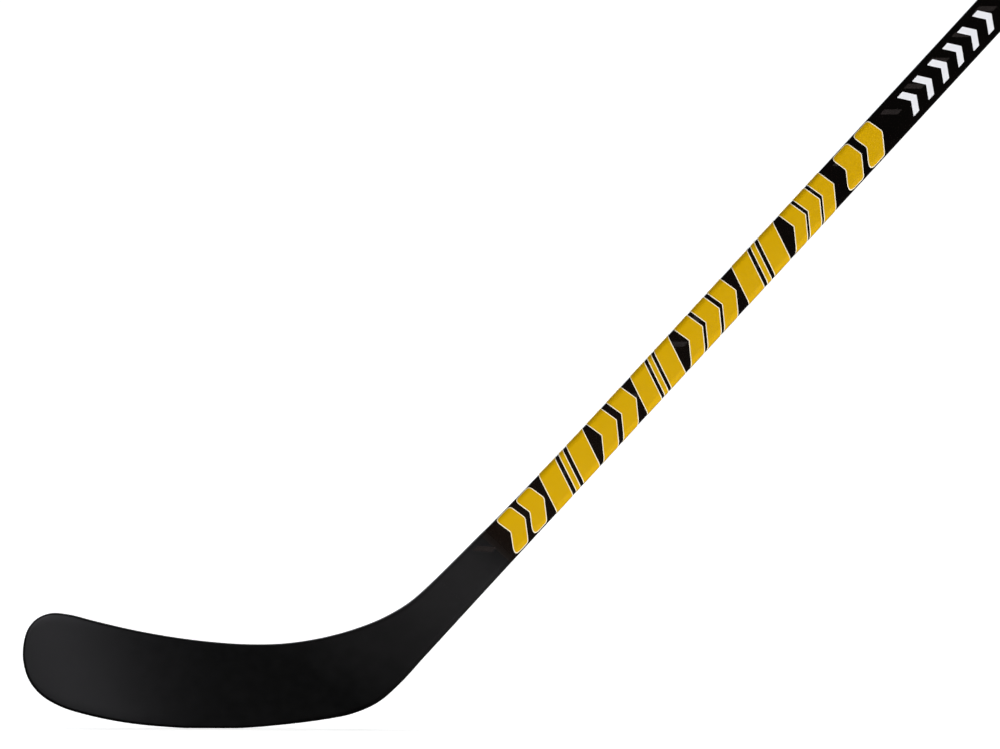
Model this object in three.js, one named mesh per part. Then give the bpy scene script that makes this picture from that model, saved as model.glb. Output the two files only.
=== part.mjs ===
// A senior ice hockey stick in moulded laminate, standing at its playing lie.
// Millimetres. +Z is up, +X runs from the toe towards the shaft, +Y is the forehand side.
// The origin is on the blade's sole, where the stick rests on the ice.
import * as THREE from 'three';

// Driving dimensions of the shaft. "Along" is measured up the shaft's back edge from the heel corner,
// which is where that edge, carried on straight, would meet the ice.
const lieAngle = THREE.MathUtils.degToRad(47.35);
const heelCorner = { x: 117, z: 0.5 };
const shaftLength = 1524;
const shaftWidth = 30;
const shaftThickness = 20;
const shaftCorner = 5;
const shaftWall = 1.8;

// The shaft grows wider and thinner as it comes down to the blade.
const flareEnd = 300;
const flareReference = 120;
const flareWidth = 4.5;
const slimThickness = 16.5;
const slimEnd = 230;
const fullEnd = 420;

// The joint between blade and shaft.
const gap = 0.3;
const hoselEnd = 150;
const jointLine = 0.8;
const wrapStart = 125;
const wrapEnd = 172;
const wrapThickness = 0.4;
const wrapRebate = wrapThickness + gap;
const jointWall = 2.4;
const bondThickness = 0.4;
const tenonStart = 108;
const tenonEnd = 215;
const tenonWall = 1.6;
const foamStopLength = 28;
const linerThickness = 0.3;
const endSpace = 1;

// The plug in the butt end.
const plugDepth = 62;
const plugHead = 3;
const plugWall = 1.8;
const plugEdge = 0.9;
const plugClearance = 0.35;

// The blade: thicknesses, edge radii and the curve of its faces.
const bladeThickness = 6.4;
const bladeCorner = 2.2;
const bladeSkin = 1.2;
const skinLap = 1;
const edgeWidth = 3.1;
const ribWidth = 1.2;
const toeX = -142.3;
const toeZ = 58.5;
const bendStart = 70;
const toeOffset = 38;
const bendPower = 2.2;
const openAngle = THREE.MathUtils.degToRad(8);
const openPower = 1.6;

// Lines across the blade from sole to top edge, from the toe to the heel: [sole x, z, top x, z].
const bladeLines = [
  [-140.8, 45.2, -138.9, 74.7],
  [-136.5, 34.6, -131.5, 83.8],
  [-127.5, 24.4, -120.6, 88.2],
  [-112.8, 16.0, -106.0, 87.2],
  [-90.0, 9.2, -88.0, 82.7],
  [-60.0, 3.6, -60.0, 76.2],
  [-30.0, 0.8, -30.0, 70.7],
  [0.0, -0.6, 0.0, 66.8],
  [30.0, 0.3, 30.0, 64.7],
  [60.0, 2.9, 57.0, 65.1],
  [88.0, 6.4, 80.0, 68.0],
  [112.0, 11.2, 99.6, 72.3],
  [131.4, 19.8, 117.0, 77.6],
  [148.3, 34.2, 132.0, 83.5],
  [166.5, 54.1, 145.7, 90.6],
  [184.8, 74.0, 157.9, 98.8],
];
const hoselLines = [wrapStart, hoselEnd, 2 * hoselEnd - wrapStart];
const fullHoselLine = bladeLines.length;
const wrapLine = bladeLines.length + 1;
const lastLine = bladeLines.length + 2;
const thickeningLine = 8;

const up = { x: Math.cos(lieAngle), z: Math.sin(lieAngle) };
const across = { x: -up.z, z: up.x };
const smooth = THREE.MathUtils.smoothstep;

// ---------- Surfaces that several pieces share ----------

// Sideways place of the blade's middle surface, before the origin is moved onto the sole.
function bladeBend(x, z) {
  const reach = THREE.MathUtils.clamp((bendStart - x) / (bendStart - toeX), 0, 1);
  return toeOffset * reach ** bendPower - Math.tan(openAngle * reach ** openPower) * z;
}

const middleY = -bladeBend(0, 0);

function widthAt(along) {
  const reach = Math.max(flareEnd - along, 0) / (flareEnd - flareReference);
  return shaftWidth + flareWidth * reach ** 2;
}

function thicknessAt(along) {
  return THREE.MathUtils.lerp(slimThickness, shaftThickness, smooth(along, slimEnd, fullEnd));
}

function wallAt(along) {
  return THREE.MathUtils.lerp(jointWall, shaftWall, smooth(along, slimEnd, fullEnd));
}

function shaftPoint(along, side, y) {
  const x = heelCorner.x + along * up.x + side * across.x;
  const z = heelCorner.z + along * up.z + side * across.z;
  return new THREE.Vector3(x, middleY + y, z);
}

// The blade's outline, from the hosel along the sole, round the toe and back along the top edge.
const outline = (() => {
  const sole = bladeLines.map(([x, z]) => new THREE.Vector3(x, 0, z));
  const top = bladeLines.map(([, , x, z]) => new THREE.Vector3(x, 0, z));
  for (const along of hoselLines) {
    sole.push(shaftPoint(along, 0, -middleY));
    top.push(shaftPoint(along, widthAt(along), -middleY));
  }
  const toe = new THREE.Vector3(toeX, 0, toeZ);
  return new THREE.CatmullRomCurve3([...sole.reverse(), toe, ...top], false, 'centripetal');
})();

// A point on the outline. The line counts from 0 at the toe; the side is -1 on the sole, 1 on top.
// The sole's lowest stretch is ground flat at the height of the ice.
function outlinePoint(line, side) {
  const point = outline.getPoint(0.5 + (side * 0.5 * line) / (lastLine + 1));
  return { x: point.x, z: Math.max(point.z, 0) };
}

// The outline moved inwards, square to itself.
function edgePoint(line, side, inset) {
  const step = 0.02;
  const here = outlinePoint(line, side);
  const before = line > step ? outlinePoint(line - step, side) : outlinePoint(step - line, -side);
  const after = outlinePoint(line + step, side);
  const length = Math.hypot(after.x - before.x, after.z - before.z);
  const outX = (-side * (after.z - before.z)) / length;
  const outZ = (side * (after.x - before.x)) / length;
  return { x: here.x - inset * outX, z: here.z - inset * outZ };
}

function bladeGrowth(line) {
  return smooth(line, thickeningLine, fullHoselLine);
}

// Half sizes of the blade's section: the outer face, the inside of the skin, and the edge radius.
function bladeSection(line, rebate) {
  const growth = bladeGrowth(line);
  const half = THREE.MathUtils.lerp(bladeThickness, slimThickness, growth) / 2;
  const skin = THREE.MathUtils.lerp(bladeSkin, jointWall, growth);
  const radius = THREE.MathUtils.lerp(bladeCorner, shaftCorner, growth) - rebate;
  return { face: half - rebate, inside: half - skin, radius, rebate };
}

// How far the rounded edge has drawn in from the outline at a height from the middle surface.
function edgeInset(section, height) {
  const rise = Math.max(height - (section.face - section.radius), 0);
  const roundness = section.radius - Math.sqrt(Math.max(section.radius ** 2 - rise ** 2, 0));
  return section.rebate + roundness;
}

function bladePoint(place, height) {
  return new THREE.Vector3(place.x, middleY + bladeBend(place.x, place.z) + height, place.z);
}

function between(a, b, part) {
  return { x: a.x + (b.x - a.x) * part, z: a.z + (b.z - a.z) * part };
}

// ---------- Closed bodies from loops of points ----------

// Joins loops of equal length. Two rows of points face each other across every loop, so an end is
// closed by joining the rows. "cyclic" is for a tube, whose last loop meets its first, and "folded"
// for a body whose first loop is already shut, because its two halves lie on each other there.
function bodyFromLoops(loops, start = 'capped') {
  const cyclic = start === 'cyclic';
  const places = new Map();
  const positions = [];
  const vertex = (point) => {
    const key = [point.x, point.y, point.z].map((value) => value.toFixed(4)).join();
    if (!places.has(key)) {
      places.set(key, positions.length / 3);
      positions.push(point.x, point.y, point.z);
    }
    return places.get(key);
  };
  const rows = loops.map((loop) => loop.map(vertex));
  const faces = [];
  const face = (a, b, c) => {
    if (a !== b && b !== c && c !== a) faces.push(a, b, c);
  };
  const quad = (a, b, c, d) => {
    face(a, b, c);
    face(a, c, d);
  };
  const size = rows[0].length;
  const spans = cyclic ? rows.length : rows.length - 1;
  for (let i = 0; i < spans; i += 1) {
    const next = rows[(i + 1) % rows.length];
    for (let j = 0; j < size; j += 1) {
      const k = (j + 1) % size;
      quad(rows[i][j], rows[i][k], next[k], next[j]);
    }
  }
  const first = rows[0];
  const last = rows[rows.length - 1];
  for (let j = 0; j < size / 2 - 1; j += 1) {
    if (start === 'capped') quad(first[size - 1 - j], first[size - 2 - j], first[j + 1], first[j]);
    if (!cyclic) quad(last[j], last[j + 1], last[size - 2 - j], last[size - 1 - j]);
  }
  return facingOut(positions, faces);
}

function facingOut(positions, faces) {
  const point = (index) => new THREE.Vector3().fromArray(positions, 3 * index);
  let volume = 0;
  for (let i = 0; i < faces.length; i += 3) {
    volume += point(faces[i]).dot(point(faces[i + 1]).cross(point(faces[i + 2])));
  }
  const geometry = new THREE.BufferGeometry();
  geometry.setAttribute('position', new THREE.Float32BufferAttribute(positions, 3));
  geometry.setIndex(volume > 0 ? faces : faces.reverse());
  geometry.computeVertexNormals();
  return geometry;
}

// A rounded rectangle across the shaft, drawn in from the shaft's outside by an inset.
function shaftLoop(along, inset) {
  const cornerSteps = 4;
  const smallestRadius = 1;
  const radius = Math.max(shaftCorner - inset, smallestRadius);
  const halfWidth = widthAt(along) / 2 - inset;
  const halfThickness = thicknessAt(along) / 2 - inset;
  const loop = [];
  for (const [sideSign, ySign] of [[1, -1], [1, 1], [-1, 1], [-1, -1]]) {
    const turn = sideSign === ySign ? 0 : 1;
    for (let i = 0; i <= cornerSteps; i += 1) {
      const step = turn ? cornerSteps - i : i;
      const angle = (step / cornerSteps) * (Math.PI / 2);
      const side = sideSign * (halfWidth - radius + radius * Math.cos(angle));
      const y = ySign * (halfThickness - radius + radius * Math.sin(angle));
      loop.push(shaftPoint(along, widthAt(along) / 2 + side, y));
    }
  }
  return loop;
}

// A tube along the shaft. Each stop is [along, outside inset, inside inset].
function shaftTube(stops) {
  const outside = stops.map(([along, inset]) => shaftLoop(along, inset));
  const inside = stops.map(([along, , inset]) => shaftLoop(along, inset)).reverse();
  return bodyFromLoops([...outside, ...inside], 'cyclic');
}

function shaftBar(stops) {
  return bodyFromLoops(stops.map(([along, inset]) => shaftLoop(along, inset)));
}

// Places along the tapering part of a piece, close enough together to follow its curve.
function alongStops(from, to) {
  const taperStep = 24;
  const stops = [from];
  for (let along = Math.ceil(from / taperStep + 0.5) * taperStep; along < to; along += taperStep) {
    if (along > fullEnd + taperStep) break;
    stops.push(along);
  }
  stops.push(to);
  return stops;
}

// ---------- Blade pieces ----------

// Lines along the blade, closer together round the toe.
function lineStops(from, to) {
  const toeLines = 3;
  const stops = [from];
  for (let line = 0.25; line < to; line += line < toeLines ? 0.25 : 0.5) {
    if (line > from + 0.01) stops.push(line);
  }
  stops.push(to);
  return stops;
}

// The same lines for a piece on the outside, with the step down under the joint wrap.
function outsideStops(from) {
  const stops = lineStops(from, lastLine).map((line) => [line, line > wrapLine ? wrapRebate : 0]);
  const step = stops.findIndex(([line]) => line > wrapLine);
  stops.splice(step, 0, [wrapLine, wrapRebate]);
  return stops;
}

// One face of the blade: a laminate shell from toe to hosel, with its outer edges rounded over.
function skinLoop(line, rebate, side) {
  const section = bladeSection(line, rebate);
  const edgeSteps = 3;
  const faceSteps = 5;
  const outside = [];
  const inside = [];
  const insideFirst = edgeInset(section, section.inside);
  const insideLast = section.rebate + section.radius + skinLap;
  const edgePair = (edge, i) => {
    const height = THREE.MathUtils.lerp(section.inside, section.face, i / edgeSteps);
    const inset = THREE.MathUtils.lerp(insideFirst, insideLast, (i + 1) / (edgeSteps + 1));
    const outer = edgePoint(line, edge, edgeInset(section, height));
    outside.push(bladePoint(outer, side * height));
    inside.push(bladePoint(edgePoint(line, edge, inset), side * section.inside));
  };
  for (let i = 0; i <= edgeSteps; i += 1) edgePair(-1, i);
  const soleRim = edgePoint(line, -1, section.rebate + section.radius);
  const topRim = edgePoint(line, 1, section.rebate + section.radius);
  for (let i = 1; i < faceSteps; i += 1) {
    const place = between(soleRim, topRim, i / faceSteps);
    outside.push(bladePoint(place, side * section.face));
    inside.push(bladePoint(place, side * section.inside));
  }
  for (let i = edgeSteps; i >= 0; i -= 1) edgePair(1, i);
  return [...outside, ...inside.reverse()];
}

function bladeFace(side) {
  const loops = outsideStops(0).map(([line, rebate]) => skinLoop(line, rebate, side));
  return bodyFromLoops(loops, 'folded');
}

// The laminate that closes the blade between its two skins, along the sole or along the top edge.
function edgeStrip(edge) {
  const toeGap = 0.03;
  const levels = [-1, -0.8, -0.45, 0, 0.45, 0.8, 1];
  const loops = outsideStops(toeGap).map(([line, rebate]) => {
    const section = bladeSection(line, rebate);
    const reach = section.inside - gap;
    const outside = levels.map((level) => {
      const height = level * reach;
      return bladePoint(edgePoint(line, edge, edgeInset(section, Math.abs(height))), height);
    });
    const inside = levels.map((level) => bladePoint(edgePoint(line, edge, edgeWidth), level * reach));
    return [...outside, ...inside.reverse()];
  });
  return bodyFromLoops(loops);
}

// A slab inside the blade, between two places across it that a function gives for each line.
function innerSlab(from, to, acrossSteps, placesAt) {
  const loops = lineStops(from, to).map((line) => {
    const height = bladeSection(line, 0).inside - gap;
    const [low, high] = placesAt(line);
    const places = [];
    for (let i = 0; i <= acrossSteps; i += 1) places.push(between(low, high, i / acrossSteps));
    const backhand = places.map((place) => bladePoint(place, -height));
    const forehand = places.map((place) => bladePoint(place, height));
    return [...backhand, ...forehand.reverse()];
  });
  return bodyFromLoops(loops);
}

// The middle of a line across the blade, moved towards the top edge by a distance.
function ribPlace(line, offset) {
  const low = edgePoint(line, -1, edgeWidth + gap);
  const high = edgePoint(line, 1, edgeWidth + gap);
  return between(low, high, 0.5 + offset / Math.hypot(high.x - low.x, high.z - low.z));
}

const coreStart = 0.5;
const coreEnd = fullHoselLine - 1.5;
const lineGap = 0.03;

function lowerCore() {
  const places = (line) => [
    edgePoint(line, -1, edgeWidth + gap),
    ribPlace(line, -ribWidth / 2 - gap),
  ];
  return innerSlab(coreStart, coreEnd, 3, places);
}

function upperCore() {
  const places = (line) => [
    ribPlace(line, ribWidth / 2 + gap),
    edgePoint(line, 1, edgeWidth + gap),
  ];
  return innerSlab(coreStart, coreEnd, 3, places);
}

function rib() {
  const places = (line) => [ribPlace(line, -ribWidth / 2), ribPlace(line, ribWidth / 2)];
  return innerSlab(coreStart, coreEnd, 1, places);
}

function hoselCore() {
  const places = (line) => [
    edgePoint(line, -1, edgeWidth + gap),
    edgePoint(line, 1, edgeWidth + gap),
  ];
  return innerSlab(coreEnd + lineGap, fullHoselLine, 3, places);
}

// ---------- Joint and shaft pieces ----------

const bondInset = jointWall + gap;
const tenonInset = bondInset + bondThickness + gap;
const foamStopStart = tenonEnd + endSpace;
const linerStart = foamStopStart + foamStopLength + endSpace;
const plugStart = shaftLength - plugHead - plugDepth;

function shaftTubePiece() {
  const start = hoselEnd + jointLine;
  const end = shaftLength - plugHead - gap;
  const under = [start, (start + wrapEnd) / 2, wrapEnd].map((along) => [along, wrapRebate, wallAt(along)]);
  const open = alongStops(wrapEnd, end).map((along) => [along, 0, wallAt(along)]);
  return shaftTube([...under, ...open]);
}

function fuseWrap() {
  return shaftTube(alongStops(wrapStart + gap, wrapEnd - gap).map((along) => [along, 0, wrapThickness]));
}

function tenon() {
  const stops = alongStops(tenonStart, tenonEnd);
  return shaftTube(stops.map((along) => [along, tenonInset, tenonInset + tenonWall]));
}

function tenonCore() {
  const inset = tenonInset + tenonWall + gap;
  return shaftBar(alongStops(tenonStart, tenonEnd).map((along) => [along, inset]));
}

function tenonBond() {
  const stops = alongStops(hoselEnd + jointLine, tenonEnd);
  return shaftTube(stops.map((along) => [along, bondInset, bondInset + bondThickness]));
}

function foamStop() {
  const stops = alongStops(foamStopStart, foamStopStart + foamStopLength);
  return shaftBar(stops.map((along) => [along, wallAt(along) + gap]));
}

function liner() {
  const stops = alongStops(linerStart, plugStart - endSpace);
  return shaftTube(stops.map((along) => [along, wallAt(along) + gap, wallAt(along) + gap + linerThickness]));
}

// A hollow plug open at its inner end, with a head that covers the end of the tube.
function buttPlug() {
  const outside = shaftWall + plugClearance;
  const hollow = outside + plugWall;
  const head = shaftLength - plugHead;
  return shaftBar([
    [head, hollow],
    [plugStart, hollow],
    [plugStart, outside + plugEdge],
    [plugStart + 2 * plugEdge, outside],
    [head, outside],
    [head, 0],
    [shaftLength - plugEdge, 0],
    [shaftLength - plugEdge / 3, plugEdge / 3],
    [shaftLength, plugEdge],
  ]);
}

// ---------- Materials and assembly ----------

function material(color, roughness, metalness = 0) {
  return new THREE.MeshStandardMaterial({ color, roughness, metalness });
}

const bladeLaminate = material(0x17181a, 0.55);
const shaftLaminate = material(0x0b0b0d, 0.2);
const innerLaminate = material(0x24262a, 0.5);
const coreFoam = material(0xe6dcc4, 0.95);
const epoxy = material(0xb48a4c, 0.3);
const linerFilm = material(0xd7dbe0, 0.35);
const plugPlastic = material(0x141416, 0.5);

const stick = new THREE.Group();

function place(name, geometry, surface) {
  const mesh = new THREE.Mesh(geometry, surface);
  mesh.name = name;
  stick.add(mesh);
}

place('blade_skin_backhand', bladeFace(-1), bladeLaminate);
place('blade_skin_forehand', bladeFace(1), bladeLaminate);
place('blade_edge_sole', edgeStrip(-1), bladeLaminate);
place('blade_edge_top', edgeStrip(1), bladeLaminate);
place('blade_core_lower', lowerCore(), coreFoam);
place('blade_core_upper', upperCore(), coreFoam);
place('blade_rib', rib(), innerLaminate);
place('hosel_core', hoselCore(), coreFoam);
place('tenon', tenon(), innerLaminate);
place('tenon_core', tenonCore(), coreFoam);
place('tenon_bond', tenonBond(), epoxy);
place('fuse_wrap', fuseWrap(), bladeLaminate);
place('shaft_tube', shaftTubePiece(), shaftLaminate);
place('shaft_foam_stop', foamStop(), coreFoam);
place('shaft_liner', liner(), linerFilm);
place('butt_plug', buttPlug(), plugPlastic);

export default stick;
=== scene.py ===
# Looks for the ice hockey stick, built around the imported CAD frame.
import math

import bmesh
import bpy
import numpy as np
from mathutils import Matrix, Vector

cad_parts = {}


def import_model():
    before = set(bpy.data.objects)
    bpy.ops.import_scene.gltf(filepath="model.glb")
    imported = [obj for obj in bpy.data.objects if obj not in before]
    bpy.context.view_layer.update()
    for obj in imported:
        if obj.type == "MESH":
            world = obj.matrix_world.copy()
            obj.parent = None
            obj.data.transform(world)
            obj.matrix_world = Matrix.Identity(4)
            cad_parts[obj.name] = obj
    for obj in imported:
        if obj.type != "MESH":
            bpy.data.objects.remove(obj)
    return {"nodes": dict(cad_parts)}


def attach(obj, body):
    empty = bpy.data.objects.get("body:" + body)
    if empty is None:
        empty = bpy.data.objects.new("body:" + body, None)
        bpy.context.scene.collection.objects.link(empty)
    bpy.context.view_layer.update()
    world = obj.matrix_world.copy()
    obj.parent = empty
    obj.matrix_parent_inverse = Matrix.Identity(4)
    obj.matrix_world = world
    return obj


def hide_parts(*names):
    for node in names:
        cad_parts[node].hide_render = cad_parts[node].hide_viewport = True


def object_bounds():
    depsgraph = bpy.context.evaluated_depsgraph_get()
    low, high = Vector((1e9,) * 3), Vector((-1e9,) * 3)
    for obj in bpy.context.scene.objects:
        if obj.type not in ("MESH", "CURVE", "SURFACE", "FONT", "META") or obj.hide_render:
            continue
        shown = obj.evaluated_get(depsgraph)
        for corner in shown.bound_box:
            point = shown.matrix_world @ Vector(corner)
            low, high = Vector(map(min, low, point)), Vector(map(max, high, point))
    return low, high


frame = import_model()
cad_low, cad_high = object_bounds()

MM = 0.001
nodes = frame["nodes"]

# ---------------------------------------------------------------- driving dimensions, in millimetres
# They repeat those of the CAD model. "Along" is measured up the shaft from the heel corner.
LIE = math.radians(47.35)
HEEL_X, HEEL_Z = 117.0, 0.5
SHAFT_LENGTH = 1524.0
SHAFT_WIDTH, SHAFT_THICKNESS, SHAFT_CORNER = 30.0, 20.0, 5.0
SHAFT_WALL, JOINT_WALL = 1.8, 2.4
FLARE_END, FLARE_REFERENCE, FLARE_WIDTH = 300.0, 120.0, 4.5
SLIM_THICKNESS, SLIM_END, FULL_END = 16.5, 230.0, 420.0
HOSEL_END, JOINT_LINE = 150.0, 0.8
WRAP_START, WRAP_END, WRAP_THICKNESS, WRAP_REBATE = 125.0, 172.0, 0.4, 0.7
PLUG_DEPTH, PLUG_HEAD, PLUG_WALL, PLUG_CLEARANCE = 62.0, 3.0, 1.8, 0.35
BLADE_THICKNESS, BLADE_CORNER, BLADE_SKIN, EDGE_WIDTH = 6.4, 2.2, 1.2, 3.1
SKIN_LAP = 1.0
TOE_X, TOE_Z = -142.3, 58.5
BEND_START, TOE_OFFSET, BEND_POWER = 70.0, 38.0, 2.2
OPEN_ANGLE, OPEN_POWER = math.radians(8), 1.6
# The gap between pieces that touch on the outside. It is finer than the CAD's.
SEAM = 0.005

# Lines across the blade from sole to top edge, from the toe to the heel: sole x, z, top x, z.
BLADE_LINES = [
    (-140.8, 45.2, -138.9, 74.7),
    (-136.5, 34.6, -131.5, 83.8),
    (-127.5, 24.4, -120.6, 88.2),
    (-112.8, 16.0, -106.0, 87.2),
    (-90.0, 9.2, -88.0, 82.7),
    (-60.0, 3.6, -60.0, 76.2),
    (-30.0, 0.8, -30.0, 70.7),
    (0.0, -0.6, 0.0, 66.8),
    (30.0, 0.3, 30.0, 64.7),
    (60.0, 2.9, 57.0, 65.1),
    (88.0, 6.4, 80.0, 68.0),
    (112.0, 11.2, 99.6, 72.3),
    (131.4, 19.8, 117.0, 77.6),
    (148.3, 34.2, 132.0, 83.5),
    (166.5, 54.1, 145.7, 90.6),
    (184.8, 74.0, 157.9, 98.8),
]
THICKENING_LINE = 8
FULL_HOSEL_LINE = len(BLADE_LINES)
WRAP_LINE = FULL_HOSEL_LINE + 1
LAST_LINE = FULL_HOSEL_LINE + 2

UP_X, UP_Z = math.cos(LIE), math.sin(LIE)


# ---------------------------------------------------------------- surfaces that the pieces share
def smooth(value, low, high):
    """0 up to low, 1 from high on, and an even rise without corners between them."""
    part = min(max((value - low) / (high - low), 0.0), 1.0)
    return part * part * (3 - 2 * part)


def mix(a, b, part):
    return a + (b - a) * part


def blade_bend(x, z):
    """How far the blade's middle surface stands off along Y: it curves and opens towards the toe."""
    reach = min(max((BEND_START - x) / (BEND_START - TOE_X), 0.0), 1.0)
    return TOE_OFFSET * reach**BEND_POWER - math.tan(OPEN_ANGLE * reach**OPEN_POWER) * z


# The shaft's middle plane, placed so that the middle of the blade crosses the frame's origin.
MIDDLE_Y = -blade_bend(0.0, 0.0)


def width_at(along):
    return SHAFT_WIDTH + FLARE_WIDTH * (max(FLARE_END - along, 0.0) / (FLARE_END - FLARE_REFERENCE)) ** 2


def thickness_at(along):
    return mix(SLIM_THICKNESS, SHAFT_THICKNESS, smooth(along, SLIM_END, FULL_END))


def wall_at(along):
    return mix(JOINT_WALL, SHAFT_WALL, smooth(along, SLIM_END, FULL_END))


def shaft_point(along, side, y):
    """A point of the shaft; side is measured from the edge that carries on from the sole."""
    return (HEEL_X + along * UP_X - side * UP_Z, MIDDLE_Y + y, HEEL_Z + along * UP_Z + side * UP_X)


def outline_controls():
    sole = [(x, z) for x, z, _, _ in BLADE_LINES]
    top = [(x, z) for _, _, x, z in BLADE_LINES]
    for along in (WRAP_START, HOSEL_END, 2 * HOSEL_END - WRAP_START):
        for edge, side in ((sole, 0.0), (top, width_at(along))):
            x, _, z = shaft_point(along, side, 0.0)
            edge.append((x, z))
    return np.array(sole[::-1] + [(TOE_X, TOE_Z)] + top)


CONTROLS = outline_controls()


def outline_point(line, side):
    """A point on the spline round the blade, which is kept from dipping below the flat of the sole.

    Lines count from 0 at the toe, and side is -1 on the sole and 1 on top.
    """
    place = (0.5 + side * 0.5 * line / (LAST_LINE + 1)) * (len(CONTROLS) - 1)
    i = min(int(place), len(CONTROLS) - 2)
    part = place - i
    p1, p2 = CONTROLS[i], CONTROLS[i + 1]
    p0 = CONTROLS[i - 1] if i > 0 else 2 * p1 - p2
    p3 = CONTROLS[i + 2] if i + 2 < len(CONTROLS) else 2 * p2 - p1
    d0, d1, d2 = (math.sqrt(np.linalg.norm(b - a)) for a, b in ((p0, p1), (p1, p2), (p2, p3)))
    t1 = ((p1 - p0) / d0 - (p2 - p0) / (d0 + d1) + (p2 - p1) / d1) * d1
    t2 = ((p2 - p1) / d1 - (p3 - p1) / (d1 + d2) + (p3 - p2) / d2) * d1
    bend = (2 * p1 - 2 * p2 + t1 + t2) * part**3 + (3 * p2 - 3 * p1 - 2 * t1 - t2) * part**2
    x, z = p1 + t1 * part + bend
    return x, max(z, 0.0)


def edge_point(line, side, inset):
    """The outline moved inwards, square to itself, and square to the shaft where the wrap begins."""
    step = 0.02
    x, z = outline_point(line, side)
    before = outline_point(line - step, side) if line > step else outline_point(step - line, -side)
    after = outline_point(line + step, side)
    run, rise = after[0] - before[0], after[1] - before[1]
    length = math.hypot(run, rise)
    part = smooth(line, FULL_HOSEL_LINE, WRAP_LINE)
    out_x = side * mix(-rise / length, -UP_Z, part)
    out_z = side * mix(run / length, UP_X, part)
    return x - inset * out_x, z - inset * out_z


def blade_section(line, rebate):
    """Half heights of the blade's outer face and the inside of its skin, and its edge radius."""
    growth = smooth(line, THICKENING_LINE, FULL_HOSEL_LINE)
    half = mix(BLADE_THICKNESS, SLIM_THICKNESS, growth) / 2
    skin = mix(BLADE_SKIN, JOINT_WALL, growth)
    return half - rebate, half - skin, mix(BLADE_CORNER, SHAFT_CORNER, growth) - rebate


def edge_inset(section, rebate, height):
    """How far the rounded edge has turned in at a height above the middle surface."""
    face, _, radius = section
    rise = max(height - (face - radius), 0.0)
    return rebate + radius - math.sqrt(max(radius**2 - rise**2, 0.0))


def blade_point(place, height):
    x, z = place
    return (x, MIDDLE_Y + blade_bend(x, z) + height, z)


# ---------------------------------------------------------------- meshes
WELD_DISTANCE, SLIVER_LENGTH = 0.002 * MM, 0.001 * MM
SHARP_CORNER = math.radians(35)


def mesh_object(name, positions, faces):
    """A smooth-shaded object from points in millimetres, with its sharp corners kept."""
    mesh = bpy.data.meshes.new(name)
    mesh.from_pydata([tuple(c * MM for c in p) for p in positions], [], faces)
    bm = bmesh.new()
    bm.from_mesh(mesh)
    bmesh.ops.remove_doubles(bm, verts=bm.verts, dist=WELD_DISTANCE)
    bmesh.ops.dissolve_degenerate(bm, edges=bm.edges, dist=SLIVER_LENGTH)
    bmesh.ops.recalc_face_normals(bm, faces=bm.faces)
    bm.to_mesh(mesh)
    bm.free()
    mesh.shade_smooth()
    mesh.set_sharp_from_angle(angle=SHARP_CORNER)
    obj = bpy.data.objects.new(name, mesh)
    bpy.context.scene.collection.objects.link(obj)
    return obj


def body_from_loops(name, loops, start="capped"):
    """Joins loops whose two rows of points face each other; "cyclic" and "folded" starts have no cap."""
    size = len(loops[0])
    positions = [point for loop in loops for point in loop]
    faces = []
    spans = len(loops) if start == "cyclic" else len(loops) - 1
    for i in range(spans):
        a, b = i * size, ((i + 1) % len(loops)) * size
        for j in range(size):
            k = (j + 1) % size
            faces.append((a + j, a + k, b + k, b + j))
    last = (len(loops) - 1) * size
    for j in range(size // 2 - 1):
        if start == "capped":
            faces.append((size - 1 - j, size - 2 - j, j + 1, j))
        if start != "cyclic":
            faces.append((last + j, last + j + 1, last + size - 2 - j, last + size - 1 - j))
    return mesh_object(name, positions, faces)


def line_stops(start):
    """Places along the blade, counted in lines, and closer together round the toe."""
    toe_lines, toe_steps, steps, least = 4, 12, 9, 0.01
    stops = [start]
    for line in range(LAST_LINE):
        count = toe_steps if line < toe_lines else steps
        places = [line + i / count for i in range(1, count + 1)]
        stops += [place for place in places if place > start + least]
    return stops


def outside_stops(start):
    """Each place with how far the surface is set back there, which is only under the wrap."""
    tiny = 0.001
    stops = [(line, WRAP_REBATE if line > WRAP_LINE + tiny else 0.0) for line in line_stops(start)]
    step = next(i for i, (_, rebate) in enumerate(stops) if rebate)
    return stops[:step] + [(WRAP_LINE, WRAP_REBATE)] + stops[step:]


def skin_loop(line, rebate, side):
    """A cut through one skin of the blade: its outer row from sole to top edge, and its inner row back."""
    edge_steps, face_steps = 8, 12
    section = blade_section(line, rebate)
    face, inside, radius = section
    flat = face - radius
    start_turn = math.asin(max(min((inside - flat) / radius, 1.0), -1.0))
    low, high = edge_inset(section, rebate, inside), rebate + radius + SKIN_LAP
    rows = []

    def edge_pair(edge, i):
        part = i / edge_steps
        if inside > flat:
            height = flat + radius * math.sin(mix(start_turn, math.pi / 2, part))
        else:
            height = mix(inside, face, math.sin(part * math.pi / 2))
        inset = mix(low, high, (i + 1) / (edge_steps + 1))
        outer = edge_point(line, edge, edge_inset(section, rebate, height))
        inner = edge_point(line, edge, inset)
        rows.append((blade_point(outer, side * height), blade_point(inner, side * inside)))

    for i in range(edge_steps + 1):
        edge_pair(-1, i)
    sole, top = (edge_point(line, edge, rebate + radius) for edge in (-1, 1))
    for i in range(1, face_steps):
        part = i / face_steps
        place = mix(sole[0], top[0], part), mix(sole[1], top[1], part)
        rows.append((blade_point(place, side * face), blade_point(place, side * inside)))
    for i in range(edge_steps, -1, -1):
        edge_pair(1, i)
    return [outer for outer, _ in rows] + [inner for _, inner in reversed(rows)]


def blade_face(name, side):
    loops = [skin_loop(line, rebate, side) for line, rebate in outside_stops(0)]
    return body_from_loops(name, loops, "folded")


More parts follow.
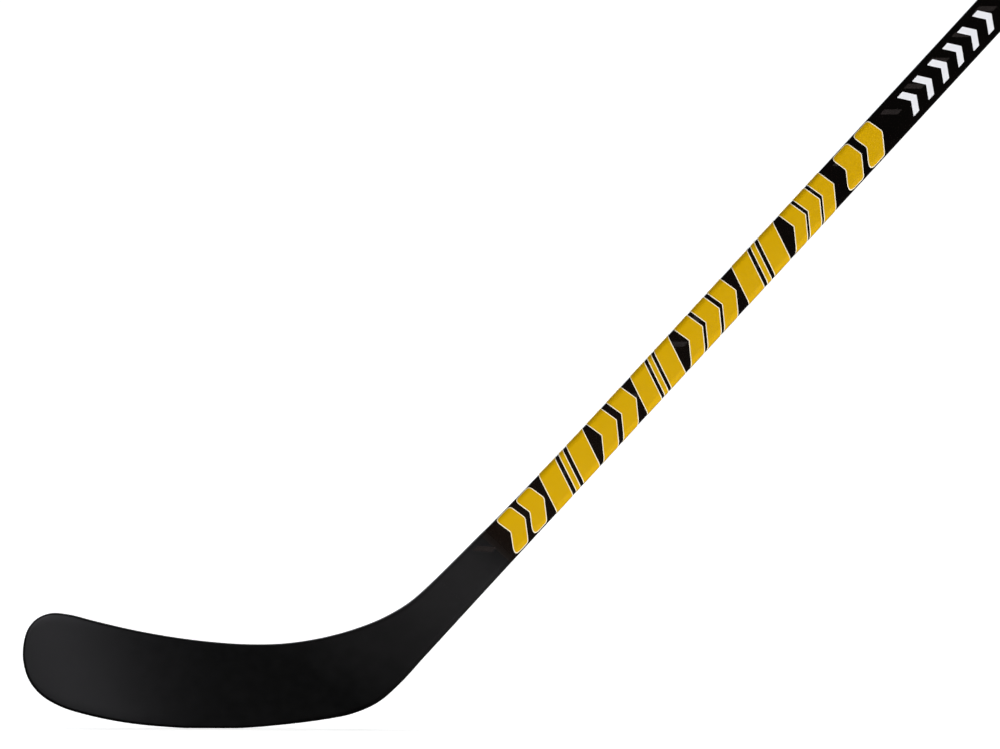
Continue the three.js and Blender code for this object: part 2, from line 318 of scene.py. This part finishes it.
def edge_strip(name, edge):
    """The strip between the two skins along one edge, which begins just short of the toe's tip."""
    toe_gap, turn_step = 0.002, 15
    levels = [math.sin(math.radians(turn)) for turn in range(-90, 91, turn_step)]
    loops = []
    for line, rebate in outside_stops(toe_gap):
        section = blade_section(line, rebate)
        reach = section[1] - SEAM
        outer, inner = [], []
        for level in levels:
            height = level * reach
            inset = edge_inset(section, rebate, abs(height))
            outer.append(blade_point(edge_point(line, edge, inset), height))
            inner.append(blade_point(edge_point(line, edge, EDGE_WIDTH), height))
        loops.append(outer + inner[::-1])
    return body_from_loops(name, loops)


def shaft_loop(along, inset, lift=None, flat_steps=6):
    """A rounded rectangle across the shaft; lift(side, y) says how far a point is pushed along Y."""
    corner_steps, least_radius = 8, 1.0
    radius = max(SHAFT_CORNER - inset, least_radius)
    half_side = width_at(along) / 2 - inset - radius
    half_y = thickness_at(along) / 2 - inset - radius
    middle = width_at(along) / 2
    corners = (
        (half_side, -half_y, -90),
        (half_side, half_y, 0),
        (-half_side, half_y, 90),
        (-half_side, -half_y, 180),
    )

    def on_corner(corner, turned):
        side, y, start = corner
        angle = math.radians(start + turned)
        return side + radius * math.cos(angle), y + radius * math.sin(angle)

    points = []
    for corner, following in zip(corners, corners[1:] + corners[:1]):
        points += [on_corner(corner, 90 * i / corner_steps) for i in range(corner_steps + 1)]
        here, there = points[-1], on_corner(following, 0)
        for i in range(1, flat_steps):
            part = i / flat_steps
            points.append((mix(here[0], there[0], part), mix(here[1], there[1], part)))
    return [shaft_point(along, middle + side, y + (lift(side, y) if lift else 0.0)) for side, y in points]


def along_stops(start, end):
    """Places along a piece of the shaft: close together where it tapers, far apart beyond."""
    near_step, far_step, least = 8.0, 80.0, 1.0
    stops, along = [start], (math.floor(start / near_step) + 1) * near_step
    while along < end:
        if along - stops[-1] > least:
            stops.append(along)
        along += near_step if along < FULL_END else far_step
    return stops + [end]


def tube(name, stops):
    """A tube from places along the shaft, each with the insets of its outside and its bore."""
    outside = [shaft_loop(along, outer) for along, outer, _ in stops]
    bore = [shaft_loop(along, inner) for along, _, inner in reversed(stops)]
    return body_from_loops(name, outside + bore, "cyclic")


# ---------------------------------------------------------------- the visible pieces of the stick
def shaft_shell():
    """The hollow shaft, set back under the wrap and bevelled at its open end."""
    bevel, head_gap, first_step = 0.25, 0.3, 4.0
    end = SHAFT_LENGTH - PLUG_HEAD - head_gap
    stops = [
        (HOSEL_END + JOINT_LINE, WRAP_REBATE, JOINT_WALL),
        (WRAP_END + SEAM, WRAP_REBATE, JOINT_WALL),
        (WRAP_END + SEAM, 0.0, JOINT_WALL),
    ]
    stops += [(along, 0.0, wall_at(along)) for along in along_stops(WRAP_END + first_step, end - bevel)]
    return tube("shaft_shell", stops + [(end, bevel, SHAFT_WALL + bevel)])


def joint_wrap():
    stops = [(along, 0.0, WRAP_THICKNESS) for along in along_stops(WRAP_START + SEAM, WRAP_END)]
    return tube("joint_wrap", stops)


def end_plug():
    """The hollow butt plug, with crush ribs along its shank and a rounded head."""
    outside = SHAFT_WALL + PLUG_CLEARANCE
    hollow = outside + PLUG_WALL
    head = SHAFT_LENGTH - PLUG_HEAD
    start = head - PLUG_DEPTH
    lead, head_bevel, round_over, round_steps, flat_steps = 1.8, 0.15, 1.0, 6, 24
    rib_height, rib_middle, rib_half_width, rib_slope, rib_gap = 0.3, 5.4, 0.8, 1.0, 3.0
    tolerance = 0.01
    face = SHAFT_THICKNESS / 2 - outside - tolerance

    def ribs(side, y):
        on_rib = abs(y) > face and abs(abs(side) - rib_middle) < rib_half_width
        return math.copysign(rib_height, y) if on_rib else 0.0

    stops = [
        (head, hollow, None),
        (start, hollow, None),
        (start, outside + lead / 2, None),
        (start + lead, outside, None),
        (start + 2 * lead, outside, None),
        (start + 4 * lead, outside, ribs),
        (head - rib_gap - rib_slope, outside, ribs),
        (head - rib_gap, outside, None),
        (head, outside, None),
        (head, head_bevel, None),
        (head + head_bevel, 0.0, None),
    ]
    for step in range(round_steps + 1):
        angle = math.radians(90 * step / round_steps)
        rise = round_over * math.sin(angle)
        stops.append((SHAFT_LENGTH - round_over + rise, round_over * (1 - math.cos(angle)), None))
    return body_from_loops("butt_end_plug", [shaft_loop(*stop, flat_steps) for stop in stops])


blade_backhand = blade_face("blade_face_backhand", -1)
blade_forehand = blade_face("blade_face_forehand", 1)
sole_edge = edge_strip("blade_sole_edge", -1)
top_edge = edge_strip("blade_top_edge", 1)
shell = shaft_shell()
wrap = joint_wrap()
plug = end_plug()

# ---------------------------------------------------------------- printed graphics
# Each print is a thin film laid on the shaft. It is drawn flat, with "along" up the shaft and
# "around" measured round the shaft from the middle of a wide face, towards the side of the toe.
ROUND_FLAT = SHAFT_WIDTH / 2 - SHAFT_CORNER
ROUND_ARC = SHAFT_CORNER * math.pi / 2
FILM = 0.04
KEYLINE = 0.65
BIG_LEAN = math.tan(math.radians(21))
SMALL_LEAN = 0.1


def film_point(along, around, lift, face):
    """A point of a print, at a height above the shaft; face is -1 backhand, 1 forehand."""
    away, sign = abs(around), math.copysign(1.0, around)
    half_width, half_thickness = width_at(along) / 2, thickness_at(along) / 2
    flat, drop = half_width - SHAFT_CORNER, half_thickness - SHAFT_CORNER
    if away <= ROUND_FLAT:
        side, depth = flat * away / ROUND_FLAT, half_thickness + lift
    else:
        angle = min((away - ROUND_FLAT) / SHAFT_CORNER, math.pi / 2)
        beyond = max(away - ROUND_FLAT - ROUND_ARC, 0.0)
        side = flat + (SHAFT_CORNER + lift) * math.sin(angle)
        depth = drop + (SHAFT_CORNER + lift) * math.cos(angle) - beyond
    return shaft_point(along, half_width + sign * side, face * depth)


def rounded(points, radius, grow=0.0):
    """A closed outline with rounded corners, moved outwards by grow."""
    least_radius, steps = 0.05, 6
    count = len(points)
    area = sum(x0 * y1 - x1 * y0 for (x0, y0), (x1, y1) in zip(points, points[1:] + points[:1]))
    points = points if area > 0 else points[::-1]
    out = []
    for i in range(count):
        before, here, after = (Vector(points[j % count]) for j in (i - 1, i, i + 1))
        a, b = (here - before).normalized(), (after - here).normalized()
        turn = a.x * b.y - a.y * b.x
        normal_a, normal_b = Vector((a.y, -a.x)), Vector((b.y, -b.x))
        corner = here + (normal_a + normal_b) * grow / (1 + normal_a.dot(normal_b))
        size = max(radius + grow if turn > 0 else radius - grow, least_radius)
        reach = size * math.sqrt((1 - a.dot(b)) / (1 + a.dot(b)))
        first, last = corner - a * reach, corner + b * reach
        for j in range(steps + 1):
            part = j / steps
            out.append(tuple(first * (1 - part) ** 2 + corner * 2 * part * (1 - part) + last * part**2))
    return out


def film(name, outlines, layer):
    """Thin closed slabs on both wide faces, cut finely enough round the shaft's corners to bend there.

    A film lies half its thickness above the one below it, or above the shaft where its layer is 0.
    """
    arc_cuts = 10
    lift = FILM * (0.5 + 1.5 * layer)
    cuts = [sign * (ROUND_FLAT + ROUND_ARC * i / arc_cuts) for sign in (-1, 1) for i in range(arc_cuts + 1)]
    positions, polygons = [], []
    for outline in outlines:
        bm = bmesh.new()
        bm.faces.new([bm.verts.new((x, y, 0)) for x, y in outline])
        for cut in cuts:
            everything = bm.verts[:] + bm.edges[:] + bm.faces[:]
            bmesh.ops.bisect_plane(bm, geom=everything, plane_co=(0, cut, 0), plane_no=(0, 1, 0))
        bmesh.ops.triangulate(bm, faces=bm.faces[:])
        bm.verts.index_update()
        rim = [tuple(v.index for v in e.verts) for e in bm.edges if len(e.link_faces) == 1]
        count = len(bm.verts)
        for face in (-1, 1):
            base = len(positions)
            for height in (lift + FILM, lift):
                positions += [film_point(v.co.x, v.co.y, height, face) for v in bm.verts]
            for f in bm.faces:
                top = [base + v.index for v in f.verts]
                polygons += [tuple(top), tuple(count + i for i in reversed(top))]
            polygons += [(base + a, base + b, base + count + b, base + count + a) for a, b in rim]
        bm.free()
    return mesh_object(name, positions, polygons)


def leaned(points, start, lean, middle=0.0):
    return [(start + x + (y - middle) * lean, y) for x, y in points]


def bar(x0, x1, half):
    return [(x0, -half), (x1, -half), (x1, half), (x0, half)]


def chevron(x0, x1, half, point, middle=0.0):
    """A band pointing up the shaft, from x0 to x1 on its middle line."""
    low, high = middle - half, middle + half
    return [
        (x0 - point, low),
        (x1 - point, low),
        (x1, middle),
        (x1 - point, high),
        (x0 - point, high),
        (x0, middle),
    ]


# Big marks along the shaft: where each starts and ends on the middle line, and its motif.
BIG_MARKS = [
    (183, 224, "darts"),
    (231, 279, "bars"),
    (285, 328, "chevrons"),
    (334, 376, "bars"),
    (384, 441, "chevrons"),
    (449, 495, "bars"),
    (503, 552, "chevrons"),
    (562, 607, "darts"),
]
BIG_HALF, DART_HALF, BIG_POINT = 19.0, 14.0, 7.0
MARK_ROUND, DART_ROUND = 0.8, 3.6
CHEVRON_PITCH, CHEVRON_SHARE, CHEVRON_OVERRUN = 19.0, 0.82, 2.0
BAR_SHARES = (0.0, 0.36), (0.46, 0.54), (0.64, 1.0)


def chevron_row(length, half):
    """As many chevrons as the length takes, evenly spaced over it."""
    count = round(length / CHEVRON_PITCH)
    first, last = BIG_POINT, length + CHEVRON_OVERRUN
    stroke = (last - first) * CHEVRON_SHARE / count
    pitch = (last - first - stroke) / (count - 1)
    starts = [first + i * pitch for i in range(count)]
    return [chevron(x0, x0 + stroke, half, BIG_POINT * half / DART_HALF) for x0 in starts]


def big_marks():
    """Leaning bars, and chevrons that point up the shaft; the darts are chevrons with rounded ends."""
    made = []
    for start, end, motif in BIG_MARKS:
        length = end - start
        if motif == "bars":
            shapes = [bar(a * length, b * length, BIG_HALF) for a, b in BAR_SHARES]
        else:
            shapes = chevron_row(length, DART_HALF if motif == "darts" else BIG_HALF)
        radius = DART_ROUND if motif == "darts" else MARK_ROUND
        made += [(leaned(shape, start, BIG_LEAN), radius) for shape in shapes]
    return made


def small_marks():
    """A row of small chevrons, a little off the middle line."""
    first, last, count = 635.0, 737.0, 6
    stroke, half, point, middle = 6.2, 9.6, 6.5, -0.6
    pitch = (last - first) / count
    starts = [i * pitch + point for i in range(count)]
    shapes = [chevron(x0, x0 + stroke, half, point, middle) for x0 in starts]
    return [leaned(shape, first, SMALL_LEAN, middle) for shape in shapes]


def dashes():
    """Faint dashes at every pitch: level at the playing lie, with ends cut along the shaft."""
    first, pitch, length, width, middle = 166.65, 26.95, 13.7, 3.8, 5.0
    level, slant = Vector((UP_X, -UP_Z)) * length / 2, Vector((width / UP_Z / 2, 0.0))
    corners = (-1, -1), (1, -1), (1, 1), (-1, 1)
    shapes = []
    for i in range(int((SHAFT_LENGTH - PLUG_DEPTH - first) / pitch)):
        centre = Vector((first + pitch * i, middle))
        shapes.append([tuple(centre + level * a + slant * b) for a, b in corners])
    return shapes


# The layers from the shaft outwards: dashes first, then keylines and small marks, then yellow fills.
DASH_LAYER, LINE_LAYER, FILL_LAYER = 0, 1, 2
SMALL_ROUND, DASH_ROUND = 0.35, 0.3
marks = big_marks()
keylines = [rounded(shape, radius, KEYLINE) for shape, radius in marks]
mark_lines = film("shaft_mark_lines", keylines, LINE_LAYER)
mark_fills = film("shaft_mark_fills", [rounded(shape, radius) for shape, radius in marks], FILL_LAYER)
small = film("shaft_small_marks", [rounded(shape, SMALL_ROUND) for shape in small_marks()], LINE_LAYER)
dash = film("shaft_dashes", [rounded(shape, DASH_ROUND) for shape in dashes()], DASH_LAYER)

# ---------------------------------------------------------------- materials
# Where the wrap ends, in metres, on the X of coordinates that are turned to run up the shaft.
TURNED_WRAP_END = (HEEL_X * UP_X + HEEL_Z * UP_Z + WRAP_END) * MM


def linear(level):
    """A screen level of 255 as linear light, by the sRGB formula."""
    share = level / 255
    return share / 12.92 if share <= 0.04045 else ((share + 0.055) / 1.055) ** 2.4


def srgb(*levels):
    return tuple(linear(level) for level in levels) + (1.0,)


def grey_light(level):
    return (level, level, level, 1.0)


class Look:
    """A Principled material with helpers that add procedural nodes."""

    def __init__(self, name, colour, roughness, **sockets):
        self.material = bpy.data.materials.new(name)
        self.material.use_nodes = True
        self.tree = self.material.node_tree
        self.shader = self.tree.nodes["Principled BSDF"]
        self.shader.inputs["Base Color"].default_value = colour
        self.shader.inputs["Roughness"].default_value = roughness
        for socket, value in sockets.items():
            self.shader.inputs[socket.replace("_", " ")].default_value = value
        self.coordinates = self.add("ShaderNodeTexCoord").outputs["Object"]
        self.normal = None

    def add(self, kind, **settings):
        node = self.tree.nodes.new(kind)
        for key, value in settings.items():
            if key in node.inputs:
                node.inputs[key].default_value = value
            else:
                setattr(node, key, value)
        return node

    def link(self, a, b):
        self.tree.links.new(a, b)

    def turned(self, angle=LIE, scale=(1, 1, 1)):
        """Coordinates in metres, turned about Y. Turned by the lie, their X runs up the shaft."""
        mapping = self.add("ShaderNodeMapping", Rotation=(0, angle, 0), Scale=scale)
        self.link(self.coordinates, mapping.inputs["Vector"])
        return mapping.outputs["Vector"]

    def x_of(self, vector):
        node = self.add("ShaderNodeSeparateXYZ")
        self.link(vector, node.inputs[0])
        return node.outputs["X"]

    def noise(self, scale, detail=3.0, vector=None):
        node = self.add("ShaderNodeTexNoise", Scale=scale, Detail=detail)
        self.link(vector or self.coordinates, node.inputs["Vector"])
        return node.outputs["Fac"]

    def waves(self, vector, direction, scale):
        node = self.add("ShaderNodeTexWave", Scale=scale, bands_direction=direction)
        self.link(vector, node.inputs["Vector"])
        return node.outputs["Fac"]

    def math(self, operation, a, b):
        node = self.add("ShaderNodeMath", operation=operation)
        for value, socket in ((a, node.inputs[0]), (b, node.inputs[1])):
            if isinstance(value, (int, float)):
                socket.default_value = value
            else:
                self.link(value, socket)
        return node.outputs[0]

    def ramp(self, value, start, end, low, high):
        """Runs from low to high while the value runs from start to end."""
        node = self.add("ShaderNodeMapRange", clamp=True)
        self.link(value, node.inputs["Value"])
        for socket, number in (("From Min", start), ("From Max", end), ("To Min", low), ("To Max", high)):
            node.inputs[socket].default_value = number
        return node.outputs["Result"]

    def spread(self, noise, low, high):
        """Runs from low to high over the middle of a noise, where most of its values are."""
        return self.ramp(noise, start=0.3, end=0.7, low=low, high=high)

    def patches(self, scale, detail, low, high):
        """Cloudy patches, with more of their area near low or high than spread gives."""
        return self.ramp(self.noise(scale, detail), start=0.35, end=0.65, low=low, high=high)

    def colours(self, value, first, second):
        node = self.add("ShaderNodeMix", data_type="RGBA")
        self.link(value, node.inputs["Factor"])
        node.inputs["A"].default_value = first
        node.inputs["B"].default_value = second
        self.link(node.outputs["Result"], self.shader.inputs["Base Color"])

    def rough(self, value):
        self.link(value, self.shader.inputs["Roughness"])

    def bump(self, value, distance, strength):
        """Relief, with the distance in metres, on top of any relief that is there already."""
        node = self.add("ShaderNodeBump", Strength=strength, Distance=distance)
        self.link(value, node.inputs["Height"])
        if self.normal:
            self.link(self.normal, node.inputs["Normal"])
        self.normal = node.outputs["Normal"]
        self.link(self.normal, self.shader.inputs["Normal"])

    def twill(self, scale):
        """A woven pattern from two crossed sets of tows."""
        vector = self.turned()
        warp = self.waves(vector, "DIAGONAL", scale)
        weft = self.waves(vector, "X", scale * 0.5)
        return self.math("MULTIPLY", warp, weft)


WEAVE_SCALE = 260.0
COAT = {"Coat_Weight": 1.0, "Coat_Roughness": 0.04}


def blade_look():
    """Satin lacquer with painted light and shade: painted lighter up the hosel where the light falls,
    painted shade over the blade towards the toe and the sole, and the painted light faded to half again
    where it meets the gloss.
    """
    steepness, painted_fade_length = math.radians(53), 0.018
    look = Look("blade_satin_black", srgb(12, 12, 13), 0.38, Specular_IOR_Level=0.3)
    slope = look.x_of(look.turned(steepness))
    # Painted light: the colour runs from deep black over the blade, towards the toe and the sole, to a
    # lighter grey up the hosel, standing in for how the light falls there.
    painted_light_ramp = look.ramp(slope, start=0.08, end=0.21, low=0.0, high=1.0)
    painted_light_and_patches = look.math("ADD", painted_light_ramp, look.patches(scale=35.0, detail=5.0, low=-0.05, high=0.05))
    up_shaft = look.x_of(look.turned())
    # The painted light and the patches fade to half where the satin meets the gloss.
    painted_light_fade = look.ramp(up_shaft, start=TURNED_WRAP_END - painted_fade_length, end=TURNED_WRAP_END, low=1.0, high=0.5)
    look.colours(look.math("MULTIPLY", painted_light_and_patches, painted_light_fade), srgb(1, 1, 1), srgb(30, 29, 30))
    look.rough(look.spread(look.noise(140.0, detail=4.0), low=0.36, high=0.41))
    look.bump(look.noise(1800.0, detail=2.0), distance=0.00002, strength=0.5)
    look.bump(look.twill(WEAVE_SCALE), distance=0.00002, strength=0.35)
    return look.material


def shaft_look():
    """Gloss lacquer, duller next to the wrap, with painted light: painted lighter and warm next to the
    wrap, and deeper in tone up the shaft.
    """
    feather_length, painted_falloff_length, dull, polish = 0.01, 0.42, 0.42, 0.3
    look = Look("shaft_gloss_black", srgb(9, 6, 4), 0.2, **COAT)
    up_shaft, start = look.x_of(look.turned()), TURNED_WRAP_END
    feather = look.ramp(up_shaft, start, end=start + feather_length, low=0.0, high=1.0)
    # Painted light: the colour is painted lighter and warm next to the wrap and darkens up the shaft,
    # standing in for how the light falls.
    depth = look.ramp(up_shaft, start, end=start + painted_falloff_length, low=0.0, high=0.9)
    painted_light_and_patches = look.math("ADD", depth, look.patches(scale=60.0, detail=4.0, low=0.0, high=0.1))
    look.colours(painted_light_and_patches, srgb(20, 13, 9), srgb(2, 1, 1))
    look.rough(look.math("SUBTRACT", dull, look.math("MULTIPLY", feather, polish)))
    look.link(feather, look.shader.inputs["Coat Weight"])
    look.bump(look.noise(420.0, detail=2.0), distance=0.00001, strength=0.25)
    look.bump(look.twill(WEAVE_SCALE), distance=0.00001, strength=0.2)
    return look.material


def print_look(name, colour, darker):
    """Ink under the same clear coat as the shaft's."""
    look = Look(name, colour, 0.2, Specular_IOR_Level=0.2, **COAT)
    look.colours(look.noise(90.0, detail=5.0), darker, colour)
    look.rough(look.spread(look.noise(300.0), low=0.16, high=0.24))
    look.bump(look.noise(420.0, detail=2.0), distance=0.00001, strength=0.25)
    return look.material


def laminate_look():
    look = Look("bare_carbon_laminate", srgb(40, 41, 44), 0.35, Coat_Weight=0.3, Coat_Roughness=0.2)
    weave = look.twill(160.0)
    look.colours(weave, srgb(22, 23, 25), srgb(58, 60, 64))
    look.rough(look.ramp(weave, start=0.0, end=1.0, low=0.5, high=0.3))
    look.bump(weave, distance=0.0001, strength=0.6)
    return look.material


def foam_look():
    look = Look("core_foam", srgb(232, 222, 200), 0.9)
    cells = look.add("ShaderNodeTexVoronoi", Scale=1500.0, feature="DISTANCE_TO_EDGE")
    look.link(look.coordinates, cells.inputs["Vector"])
    walls = look.ramp(cells.outputs["Distance"], start=0.0, end=0.2, low=0.0, high=1.0)
    look.colours(walls, srgb(244, 236, 218), srgb(214, 200, 172))
    look.rough(look.spread(look.noise(200.0), low=0.85, high=0.95))
    look.bump(walls, distance=0.0002, strength=0.7)
    return look.material


def epoxy_look():
    look = Look("epoxy_bond", srgb(188, 140, 78), 0.25, Transmission_Weight=0.3, IOR=1.5)
    look.colours(look.noise(220.0, detail=4.0), srgb(170, 118, 60), srgb(204, 160, 98))
    look.rough(look.spread(look.noise(500.0), low=0.18, high=0.4))
    look.bump(look.noise(350.0), distance=0.0001, strength=0.4)
    return look.material


def liner_look():
    look = Look("bladder_film", srgb(214, 218, 224), 0.3, Transmission_Weight=0.4)
    lengthways = look.turned(scale=(0.15, 1, 1))
    creases = look.noise(90.0, detail=6.0, vector=lengthways)
    look.colours(creases, srgb(196, 200, 208), srgb(226, 229, 233))
    look.rough(look.spread(creases, low=0.22, high=0.45))
    look.bump(creases, distance=0.0004, strength=0.5)
    return look.material


def plug_look():
    look = Look("moulded_plug", srgb(26, 26, 27), 0.5)
    grain = look.noise(1400.0)
    look.colours(look.noise(70.0, detail=4.0), srgb(22, 22, 23), srgb(33, 33, 34))
    look.rough(look.spread(grain, low=0.42, high=0.6))
    look.bump(grain, distance=0.00008, strength=0.5)
    return look.material


def wear(obj, material):
    obj.data.materials.clear()
    obj.data.materials.append(material)


satin, gloss, laminate = blade_look(), shaft_look(), laminate_look()
foam, epoxy, bladder, moulded = foam_look(), epoxy_look(), liner_look(), plug_look()
yellow = print_look("yellow_print", srgb(211, 166, 0), srgb(208, 162, 0))
cream = print_look("cream_print", srgb(255, 247, 220), srgb(250, 238, 208))
white = print_look("white_print", srgb(243, 243, 246), srgb(234, 235, 240))
grey = print_look("grey_print", srgb(40, 36, 35), srgb(35, 31, 30))

for piece in (blade_backhand, blade_forehand, sole_edge, top_edge, wrap):
    wear(piece, satin)
wear(shell, gloss)
wear(plug, moulded)
wear(mark_fills, yellow)
wear(mark_lines, cream)
wear(small, white)
wear(dash, grey)
for names, material in (
    (("blade_rib", "tenon"), laminate),
    (("blade_core_lower", "blade_core_upper", "hosel_core", "tenon_core", "shaft_foam_stop"), foam),
    (("tenon_bond",), epoxy),
    (("shaft_liner",), bladder),
):
    for name in names:
        wear(nodes[name], material)

# ---------------------------------------------------------------- how the pieces ride
for piece, replaced, slot in (
    (blade_backhand, "blade_skin_backhand", "blade_laminate"),
    (blade_forehand, "blade_skin_forehand", "blade_laminate"),
    (sole_edge, "blade_edge_sole", "blade_laminate"),
    (top_edge, "blade_edge_top", "blade_laminate"),
    (wrap, "fuse_wrap", "blade_laminate"),
    (shell, "shaft_tube", "shaft_laminate"),
):
    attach(piece, "stick")
    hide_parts(replaced)
for piece, slot in (
    (mark_fills, "print_yellow"),
    (mark_lines, "print_white"),
    (small, "print_white"),
    (dash, "print_grey"),
):
    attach(piece, "stick")
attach(plug, "plug")
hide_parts("butt_plug")


# ---------------------------------------------------------------- floor, light and camera, in metres
WHITE = (1.0, 1.0, 1.0)
COOL_WHITE = (0.93, 0.96, 1.0)
VIOLET_WHITE = (0.94, 0.93, 1.0)
WARM_WHITE = (1.0, 0.95, 0.88)


def floor():
    """A pale floor without an edge in sight, which glows a little and shows in no reflection."""
    reach, gap = 40.0, 0.0002
    mesh = bpy.data.meshes.new("floor")
    corners = [(-reach, -reach, 0), (reach, -reach, 0), (reach, reach, 0), (-reach, reach, 0)]
    mesh.from_pydata(corners, [], [(0, 1, 2, 3)])
    obj = bpy.data.objects.new("floor", mesh)
    bpy.context.scene.collection.objects.link(obj)
    obj.location.z = cad_low.z - gap
    obj.visible_glossy = False
    look = Look("pale_floor", grey_light(0.86), 0.8, Emission_Strength=0.6, Emission_Color=grey_light(1.0))
    look.colours(look.noise(2.0), grey_light(0.85), grey_light(0.87))
    wear(obj, look.material)


def add_light(name, kind, strength, colour):
    data = bpy.data.lights.new(name, kind)
    data.energy = strength
    data.color = colour
    obj = bpy.data.objects.new(name, data)
    bpy.context.scene.collection.objects.link(obj)
    return obj


def aim(obj, place, target):
    """Puts a light at a place, shining on a target."""
    obj.location = place
    obj.rotation_euler = (Vector(place) - Vector(target)).to_track_quat("Z", "Y").to_euler()


def sun(name, towards, strength, spread, colour=WHITE):
    """A soft light from far away; towards is the direction from the stick to the light."""
    obj = add_light(name, "SUN", strength, colour)
    obj.data.angle = math.radians(spread)
    aim(obj, towards, (0, 0, 0))


def area_light(name, place, target, size, power, colour):
    obj = add_light(name, "AREA", power, colour)
    obj.data.shape = "SQUARE"
    obj.data.size = size
    obj.visible_camera = False
    aim(obj, place, target)


def background(tree, colour, strength):
    node = tree.nodes.new("ShaderNodeBackground")
    node.inputs["Color"].default_value = colour + (1.0,)
    node.inputs["Strength"].default_value = strength
    return node.outputs[0]


def world():
    """White behind the stick as the camera sees it, and a dim warm surround for everything else."""
    made = bpy.data.worlds.new("studio")
    bpy.context.scene.world = made
    made.use_nodes = True
    tree = made.node_tree
    tree.nodes.clear()
    output = tree.nodes.new("ShaderNodeOutputWorld")
    path, choice = tree.nodes.new("ShaderNodeLightPath"), tree.nodes.new("ShaderNodeMixShader")
    tree.links.new(path.outputs["Is Camera Ray"], choice.inputs[0])
    tree.links.new(background(tree, WARM_WHITE, strength=0.022), choice.inputs[1])
    tree.links.new(background(tree, WHITE, strength=1.05), choice.inputs[2])
    tree.links.new(choice.outputs[0], output.inputs[0])


def camera():
    """A long lens from far off, square to the blade, so that depth hardly shows."""
    centre, distance, view_width, sensor = Vector((0.2253, 0.0, 0.2719)), 14.0, 0.7688, 36.0
    data = bpy.data.cameras.new("camera")
    data.sensor_width = sensor
    data.lens = sensor * distance / view_width
    obj = bpy.data.objects.new("camera", data)
    bpy.context.scene.collection.objects.link(obj)
    obj.location = centre - Vector((0, distance, 0))
    obj.rotation_euler = (math.radians(90), 0, 0)
    bpy.context.scene.camera = obj


floor()
world()
sun("key", towards=(0.8, -0.62, 0.2), strength=2.3, spread=40)
sun("back", towards=(-0.368, 0.866, 0.339), strength=1.4, spread=50, colour=COOL_WHITE)
sun("top", towards=(0.3, 0.3, 1.0), strength=0.8, spread=50)
left_box_place, blade_middle = (-0.90, -0.93, 0.11), (-0.1, 0, 0.05)
area_light("left_box", left_box_place, blade_middle, size=0.4, power=6.6, colour=VIOLET_WHITE)
camera()
bpy.context.scene.view_settings.view_transform = "Standard"
